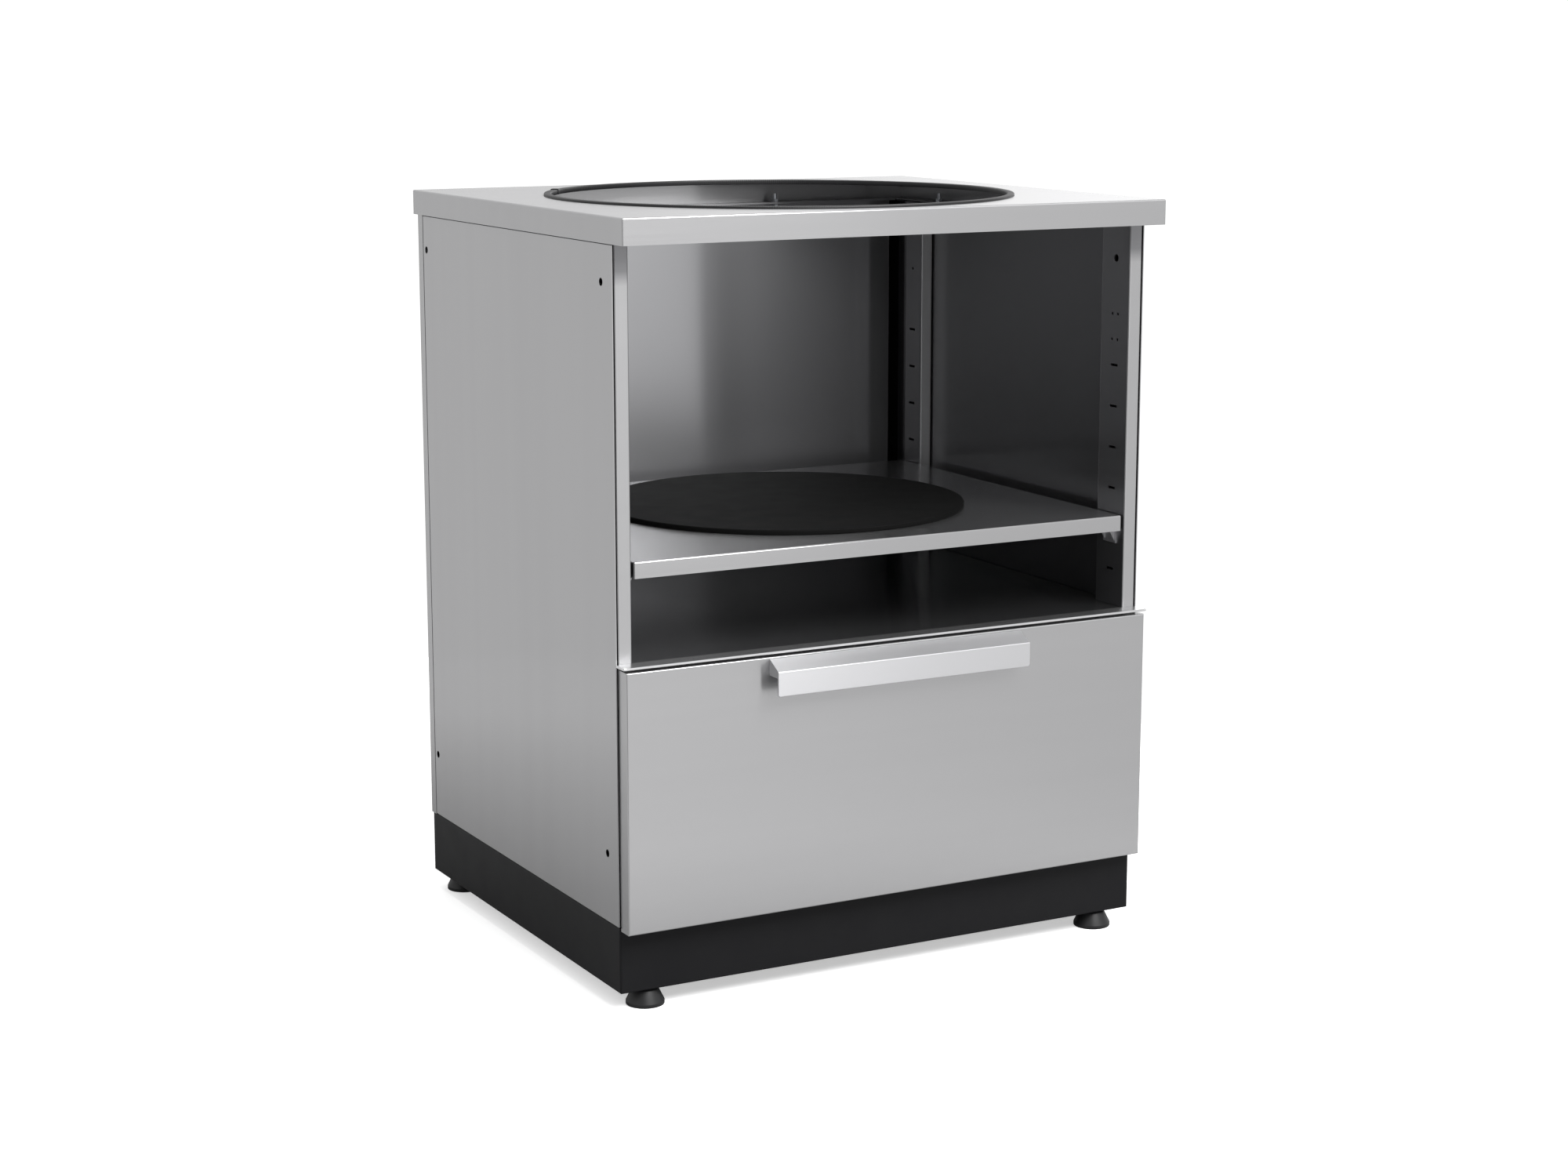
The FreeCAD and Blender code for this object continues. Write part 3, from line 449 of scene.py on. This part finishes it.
def make_piece(name, grid, body, material, stands_for, rows_close=True, columns_close=False):
    """Joins neighbouring points of a grid into four-sided faces, where rows and columns may each run
    round to the first, merges doubled points so that poles and seams close, and turns faces outwards."""
    rows, columns = grid.shape[:2]
    index = np.arange(rows * columns).reshape(rows, columns)
    if rows_close:
        index = np.concatenate([index, index[:1]], axis=0)
    if columns_close:
        index = np.concatenate([index, index[:, :1]], axis=1)
    corners = [index[:-1, :-1], index[:-1, 1:], index[1:, 1:], index[1:, :-1]]
    faces = np.stack(corners, axis=-1).reshape(-1, 4)
    mesh = bpy.data.meshes.new(name)
    mesh.from_pydata(grid.reshape(-1, 3).tolist(), [], faces.tolist())
    work = bmesh.new()
    work.from_mesh(mesh)
    bmesh.ops.remove_doubles(work, verts=work.verts, dist=merge_distance)
    bmesh.ops.recalc_face_normals(work, faces=work.faces)
    work.to_mesh(mesh)
    work.free()
    mesh.polygons.foreach_set("use_smooth", np.ones(len(mesh.polygons), bool))
    mesh.set_sharp_from_angle(angle=math.radians(sharp_angle))
    mesh.materials.append(material)
    piece = bpy.data.objects.new(name, mesh)
    scene.collection.objects.link(piece)
    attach(piece, body)
    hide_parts(*stands_for)


def matt_black(name, colour, worn, rough, grit, gloss_level):
    """Matt black rubber, plastic or coating: a fine grit in relief, and a slightly paler tone where
    the noise is high, as on a surface that has been handled."""
    material, tree, shader = new_material(name)
    place = add_node(tree, "ShaderNodeTexCoord").outputs["Object"]
    speck = add_node(tree, "ShaderNodeTexNoise", {"Vector": place, "Scale": 1 / grit, "Detail": 3.0})
    cloud = add_node(tree, "ShaderNodeTexNoise", {"Vector": place, "Scale": 1 / worn_patch, "Detail": 2.0})
    tone = add_node(
        tree, "ShaderNodeMixRGB", {"Fac": cloud.outputs[0], "Color1": linear(colour), "Color2": linear(worn)}
    )
    gloss = add_node(
        tree,
        "ShaderNodeMapRange",
        {"Value": cloud.outputs[0], "To Min": rough - worn_gloss, "To Max": rough + worn_gloss},
    )
    relief = add_node(
        tree,
        "ShaderNodeBump",
        {"Height": speck.outputs[0], "Strength": grit_strength, "Distance": grit * grit_height},
    )
    connect(
        tree,
        shader,
        {
            "Base Color": tone.outputs[0],
            "Roughness": gloss.outputs[0],
            "Normal": relief.outputs[0],
            "IOR": polymer_ior,
            "Specular IOR Level": gloss_level,
        },
    )
    return material


# Extruded EPDM rubber: a dull, even black with a faint bloom of dust.
edging_rubber = matt_black(
    "ribbed_rubber", rubber_black, rubber_dust, rubber_rough, rubber_grit, rubber_gloss
)

bead_top = sheet_top + bead_height
bead_low = sheet_top + bead_gap
web = edging_inner + channel_wall
foot = sheet_top - sheet_gauge - sheet_gap
lip_low = foot - channel_wall
lip_end = edging_outer - lip_setback
edging_corners = [
    (edging_inner, lip_low),
    (lip_end, lip_low),
    (lip_end, foot),
    (web, foot),
    (web, bead_low),
    (edging_outer, bead_low),
    (edging_outer, bead_top),
    (edging_inner, bead_top),
]
edging_radii = np.array([0.8, 0.6, 0.2, 0.2, 0.2, 0.3, 1.45, 1.45]) * mm
edging_outline = rounded(edging_corners, edging_radii, edging_arc_points)

# The ribs run over the bead and down the channel's wall. A groove's share of their depth is one half
# less the cosine of the angle times the number of ribs, held between 0 and 1, square to the outline.
tangent = np.roll(edging_outline, -1, axis=0) - np.roll(edging_outline, 1, axis=0)
outward = np.stack([tangent[:, 1], -tangent[:, 0]], axis=1)
outward /= np.linalg.norm(outward, axis=1, keepdims=True)
on_bead = edging_outline[:, 1] > sheet_top + rib_from_height
on_wall = edging_outline[:, 0] < edging_inner + rib_wall_width
ribbed = on_bead | on_wall
turns = np.linspace(0, 2 * np.pi, rib_count * rib_points, endpoint=False)
groove = np.clip(0.5 - np.cos(turns * rib_count), 0, 1)
inset = groove[:, None, None] * (rib_depth * ribbed[:, None] * outward)[None]
make_piece(
    "ribbed_edging",
    ring(edging_outline[None] - inset, turns),
    "cabinet",
    edging_rubber,
    ["cutout_trim"],
    columns_close=True,
)

# The sleeve is one outline at seven angles. Each is drawn in to the core by its swell to the power 0.12,
# which rounds both ends softly, and the first and the last close on the core.
sleeve_arc_points = 5
sleeve_middle = math.radians(140.9)
sleeve_half = math.radians(0.95)
sleeve_wall = 1.0 * mm
sleeve_inner = edging_inner - 0.5 * mm
sleeve_web = edging_inner + 0.6 * mm
sleeve_skirt = edging_outer - 0.6 * mm
sleeve_outer = edging_outer + sleeve_wall
sleeve_low = foot - 1.2 * mm
sleeve_base = sheet_top + sheet_gap
sleeve_roof = bead_top - 0.6 * mm
sleeve_top = bead_top + sleeve_wall
sleeve_corners = [
    (sleeve_inner, sleeve_low),
    (sleeve_web, sleeve_low),
    (sleeve_web, sleeve_roof),
    (sleeve_skirt, sleeve_roof),
    (sleeve_skirt, sleeve_base),
    (sleeve_outer, sleeve_base),
    (sleeve_outer, sleeve_top),
    (sleeve_inner, sleeve_top),
]
sleeve_radii = np.array([0.4, 0.2, 0.2, 0.2, 0.2, 0.4, 1.8, 1.8]) * mm
sleeve_outline = rounded(sleeve_corners, sleeve_radii, sleeve_arc_points)
swell_power = 0.12
swell = np.array([0.0, 0.75, 1.0, 1.0, 1.0, 0.75, 0.0])
sleeve_turns = sleeve_middle + sleeve_half * np.array([-1.0, -1.0, -0.75, 0.0, 0.75, 1.0, 1.0])
core = np.array([(edging_inner + edging_outer) / 2, (sheet_top + bead_top) / 2])
sleeve_sections = core + (sleeve_outline - core)[None] * swell[:, None, None] ** swell_power
sleeve_sections[[0, -1]] = core
make_piece(
    "edging_sleeve",
    ring(sleeve_sections, sleeve_turns),
    "cabinet",
    edging_rubber,
    ["trim_joiner"],
    rows_close=False,
    columns_close=True,
)

# Side and back panels. The sides are single sheets, brushed upright, with four joining holes each. The
# back is one sheet brushed from side to side, and it wraps round both rear corners.
hard_edge = 0.01

# The satin steel again, with painted shade. Inside the bay, where it mirrors only other sheets, it is
# painted darker, and the shadow gaps under the worktop's skirt, over the base and where the back wraps
# behind the posts are painted nearly black.
side_painted_shade = (
    ((0, -262, 0), (350.4, 400, 1000), "#7A7A7C", hard_edge),
    ((0, -400, 870.2), (400, 400, 1000), "#38383A", hard_edge),
    ((0, -400, 0), (400, 400, 101.8), "#28282A", hard_edge),
)
back_painted_shade = (
    ((0, -400, 0), (350.4, 304.6, 1000), "#A4A4A6", hard_edge),
    ((333, -400, 0), (350.4, 304.6, 1000), "#161617", hard_edge),
)
side_steel = brushed_steel("satin_steel_upright", (0, 0, 1), painted_light_and_shade=side_painted_shade)
back_steel = brushed_steel("satin_steel_back", (1, 0, 0), painted_light_and_shade=back_painted_shade)
finish_node("left_side_panel", side_steel)
finish_node("right_side_panel", side_steel)
finish_node("back_panel", back_steel)

# Corner posts. Four upright channels, folded from the same sheet and spot welded inside the corners,
# with slots at 50 mm for the shelf's clips.
soft_edge = 16.0

# The satin steel again, with painted shade inside the bay and a soft painted shadow of the worktop's skirt
# on the stiles.
# The rear posts' returns face the light and are painted pale as painted light, and the left stile's outer
# joint, a groove, is a dark line of painted shade.
post_painted_light_and_shade = (
    ((0, -264.2, 0), (400, 400, 1000), "#8C8C8E", hard_edge),
    ((332.5, 200, 0), (400, 217, 1000), "#E8E8E9", hard_edge),
    ((0, -400, 842), (348.1, -264.2, 1000), "#868688", soft_edge),
)
groove_painted_shade = ((348.1, -400, 0), (400, 400, 1000), "#1A1A1B", hard_edge)
post_steel = brushed_steel("satin_steel_posts", (1, 0, 0), painted_light_and_shade=post_painted_light_and_shade)
left_post_steel = brushed_steel("satin_steel_left_post", (1, 0, 0), painted_light_and_shade=(*post_painted_light_and_shade, groove_painted_shade))
finish_node("front_left_post", left_post_steel)
for post in ("front_right_post", "rear_left_post", "rear_right_post"):
    finish_node(post, post_steel)

# Deck, its rail and the bottom panel. Plain folded sheets that close the drawer's space above and
# below. The deck shows from the front, and the other two are left in the mill's duller finish.
mill_light = "#9C9C9E"
mill_deep = "#8C8C8E"
mill_rough = 0.3
deck_light = "#D8D8D9"
deck_deep = "#D4D4D5"
deck_veil = 0.15
# Painted shade on the deck's floor inside the bay, behind its lip.
deck_painted_shade = (((0, -264, 0), (400, 400, 1000), "#828284", hard_edge),)

# Cold-rolled mill finish: greyer than the satin sheets, with a softer gloss.
mill_steel = brushed_steel("mill_steel", (1, 0, 0), mill_light, mill_deep, rough=mill_rough)

# The satin steel again: its lip has a clearer mirror, and the floor of the bay behind it is painted darker
# as painted shade.
deck_steel = brushed_steel(
    "satin_steel_deck", (1, 0, 0), deck_light, deck_deep, veil=deck_veil, painted_light_and_shade=deck_painted_shade
)
finish_node("deck", deck_steel)
finish_node("deck_rail", mill_steel)
finish_node("bottom_panel", mill_steel)

# Base frame. Four mitred channels of 1.5 mm steel with a plate across each corner, powder coated satin
# black and baked.
coat_black = "#18181A"
coat_worn = "#1C1C1D"
coat_rough = 0.42
coat_pebble = 0.9 * mm
coat_gloss = 0.1

# Baked powder coat: an even satin black with a fine pebbled skin.
base_black = matt_black("black_powder_coat", coat_black, coat_worn, coat_rough, coat_pebble, coat_gloss)
for part in ("base_front_rail", "base_right_rail", "base_rear_rail", "base_left_rail", "foot_brackets"):
    finish_node(part, base_black)

# Levelling feet. Each is a conical pad of black nylon, moulded with a socket, on a zinc-plated M10
# stem that turns in the bracket and its nut.
foot_places = {
    "front_left": (-309.5, -244.75),
    "front_right": (309.5, -244.75),
    "rear_left": (-319.5, 273.75),
    "rear_right": (319.5, 273.75),
}
pad_corners = [
    (0, 0),
    (22.5, 0),
    (22.5, 4.2),
    (15.5, 18.5),
    (10, 21.7),
    (5.1, 21.7),
    (5.1, 8),
    (0, 8),
]
pad_radii = [0, 0.8, 1.2, 4.0, 0.8, 0.3, 0.1, 0]
pad_arc_points = 6
pad_points = 64
stem_radius = 4.9 * mm
stem_low = 8.1 * mm
stem_length = 64 * mm
thread_pitch = 1.5 * mm
thread_depth = 0.75 * mm
thread_rows = 6
nylon_black = "#1E1E1F"
nylon_worn = "#262627"
nylon_rough = 0.42
nylon_grain = 0.5 * mm
nylon_gloss = 0.3
zinc_pale = "#C9CCD0"
zinc_deep = "#AEB1B6"
zinc_rough = 0.3
plate_patch = 6 * mm
plate_gloss = 0.08


def turned(outline, turns):
    """Points of an outline of radius and height turned about the upright axis: x is radius times
    cosine, y is radius times sine, and z is the height."""
    radius, height = outline[:, 0], outline[:, 1]
    x = np.cos(turns)[:, None] * radius
    y = np.sin(turns)[:, None] * radius
    return np.stack([x, y, np.broadcast_to(height, x.shape)], axis=-1)


def threaded(radius, low, high, pitch, depth, turns):
    """Round bar along the upright axis with one helix cut into it. The phase is the fraction of
    height / pitch less angle / full turn. The radius falls by the depth times three times the phase's
    distance from one half, less a quarter, held between 0 and 1. Both ends close on the axis."""
    height = np.linspace(low, high, int((high - low) / pitch * thread_rows))
    phase = (height[None] / pitch - turns[:, None] / (2 * np.pi)) % 1.0
    fall = np.clip(np.abs(phase - 0.5) * 3 - 0.25, 0, 1)
    body = radius - depth * fall
    body[:, [0, -1]] = radius - depth
    body = np.concatenate([0 * body[:, :1], body, 0 * body[:, :1]], axis=1)
    height = np.concatenate([[low], height, [high]])
    x = body * np.cos(turns)[:, None]
    y = body * np.sin(turns)[:, None]
    return np.stack([x, y, np.broadcast_to(height, x.shape)], axis=-1)


def plated(name, colour, deep, rough):
    """Plated or plain small steel parts without a grain: small cloudy patches of tone and gloss."""
    material, tree, shader = new_material(name)
    place = add_node(tree, "ShaderNodeTexCoord").outputs["Object"]
    cloud = add_node(tree, "ShaderNodeTexNoise", {"Vector": place, "Scale": 1 / plate_patch, "Detail": 3.0})
    tone = add_node(
        tree, "ShaderNodeMixRGB", {"Fac": cloud.outputs[0], "Color1": linear(colour), "Color2": linear(deep)}
    )
    gloss = add_node(
        tree,
        "ShaderNodeMapRange",
        {"Value": cloud.outputs[0], "To Min": rough - plate_gloss, "To Max": rough + plate_gloss},
    )
    connect(
        tree, shader, {"Base Color": tone.outputs[0], "Metallic": 1.0, "Roughness": gloss.outputs[0]}
    )
    return material


# Moulded nylon: a greyer black than the rubber, with the mould's fine grain.
foot_nylon = matt_black("black_nylon", nylon_black, nylon_worn, nylon_rough, nylon_grain, nylon_gloss)

# Bright zinc from the bath: pale and slightly blue, in faint cloudy patches.
zinc_plate = plated("bright_zinc_plate", zinc_pale, zinc_deep, zinc_rough)

around = np.linspace(0, 2 * np.pi, pad_points, endpoint=False)
pad_outline = rounded(np.array(pad_corners) * mm, np.array(pad_radii) * mm, pad_arc_points)
pad = turned(pad_outline, around)
stem = threaded(stem_radius, stem_low, stem_low + stem_length, thread_pitch, thread_depth, around[::2])
for corner, (x, y) in foot_places.items():
    shift = np.array([x, y, 0]) * mm
    body = "foot_" + corner
    make_piece("pad_" + corner, pad + shift, body, foot_nylon, ["foot_pad_" + corner])
    make_piece("stem_" + corner, stem + shift, body, zinc_plate, ["foot_stem_" + corner])

# Shelf. A tray folded from one sheet and brushed from side to side, with two hat sections welded under
# it. It rests on four pressed clips that hook into the posts' slots.
shelf_veil = 0.06
clip_pale = "#C6C6C8"
clip_deep = "#B4B4B6"
clip_rough = 0.55

# Stainless strip, tumbled after pressing: pale, even and dull, with no grain.
clip_steel = plated("pressed_clip_steel", clip_pale, clip_deep, clip_rough)

# The satin steel with hardly any veil, so that the shelf mirrors the posts and the mat clearly.
shelf_steel = brushed_steel("satin_steel_shelf", (1, 0, 0), veil=shelf_veil)
finish_node("shelf", shelf_steel)
finish_node("shelf_stiffeners", mill_steel)
for end in ("front", "rear"):
    for side in ("left", "right"):
        finish_node("shelf_clip_%s_%s" % (end, side), clip_steel)

# Heat mat. A loose round of matt black mineral board, 450 mm across and 6 mm thick, cut from a pressed
# sheet, with both rims rounded over.
mat_centre = np.array([6, 6, 0]) * mm
mat_radius = 225
mat_low = 520.1
mat_top = mat_low + 6
mat_rim = 1.5
mat_arc_points = 8
mat_points = 240
board_black = "#070707"
board_worn = "#0A0A0A"
board_rough = 0.7
board_grit = 1.2 * mm
board_gloss = 0.08

# Pressed mineral board, black all through: nearly no gloss, and a dry grit.
mat_black = matt_black("black_mineral_board", board_black, board_worn, board_rough, board_grit, board_gloss)
mat_corners = [(0, mat_low), (mat_radius, mat_low), (mat_radius, mat_top), (0, mat_top)]
mat_radii = [0, mat_rim, mat_rim, 0]
mat_outline = rounded(np.array(mat_corners) * mm, np.array(mat_radii) * mm, mat_arc_points)
make_piece(
    "round_mat",
    turned(mat_outline, np.linspace(0, 2 * np.pi, mat_points, endpoint=False)) + mat_centre,
    "heat_mat",
    mat_black,
    ["heat_mat"],
)

# Drawer. Its front is a folded skin, brushed from side to side, closed at the back by a liner that
# carries the box of plainer sheet. Four rubber buttons meet the posts.
finish_node("drawer_front", steel_across)
for part in ("drawer_front_liner", "drawer_left_side", "drawer_right_side", "drawer_bottom", "drawer_back"):
    finish_node(part, mill_steel)
finish_node("drawer_bumpers", edging_rubber)

# Handle. An extruded aluminium pull, brushed along its length and anodised clear, held by two screws
# from inside the drawer front.
handle_light = "#D0D0D2"
handle_deep = "#CCCCCE"
handle_rough = 0.3

# Clear anodised aluminium: paler than the steel, with a softer gloss.
handle_finish = brushed_steel("anodised_aluminium", (1, 0, 0), handle_light, handle_deep, rough=handle_rough)
finish_node("drawer_handle", handle_finish)

# Slides. Three nested members a side, rolled from zinc-plated strip, run on rows of steel balls held
# in two pressed cages.
slide_pale = "#BFC2C6"
slide_deep = "#A9ACB1"
slide_rough = 0.34
ball_pale = "#D0D1D3"
ball_deep = "#C0C1C4"
ball_rough = 0.14

# Rolled zinc-plated strip: a half-dull grey. The balls and their cages are polished and mirror clearly.
slide_plate = plated("plated_slide_steel", slide_pale, slide_deep, slide_rough)
ball_steel = plated("polished_ball_steel", ball_pale, ball_deep, ball_rough)
for side in ("left", "right"):
    for member in ("outer", "middle", "inner"):
        finish_node("%s_slide_%s" % (side, member), slide_plate)
    for cage in ("outer", "inner"):
        finish_node("%s_%s_cage" % (side, cage), ball_steel)

# Nuts, bolts and screws. Hexagon bolts hold the worktop, M10 nuts lock the feet, and cross-headed
# screws hold the slides, the drawer front, the handle and the base. All are zinc plated.
for part in (
    "foot_nuts",
    "worktop_bolts",
    "worktop_nuts",
    "slide_screws_cabinet",
    "slide_screws_drawer",
    "handle_screws",
    "drawer_front_screws",
    "base_screws",
):
    finish_node(part, zinc_plate)
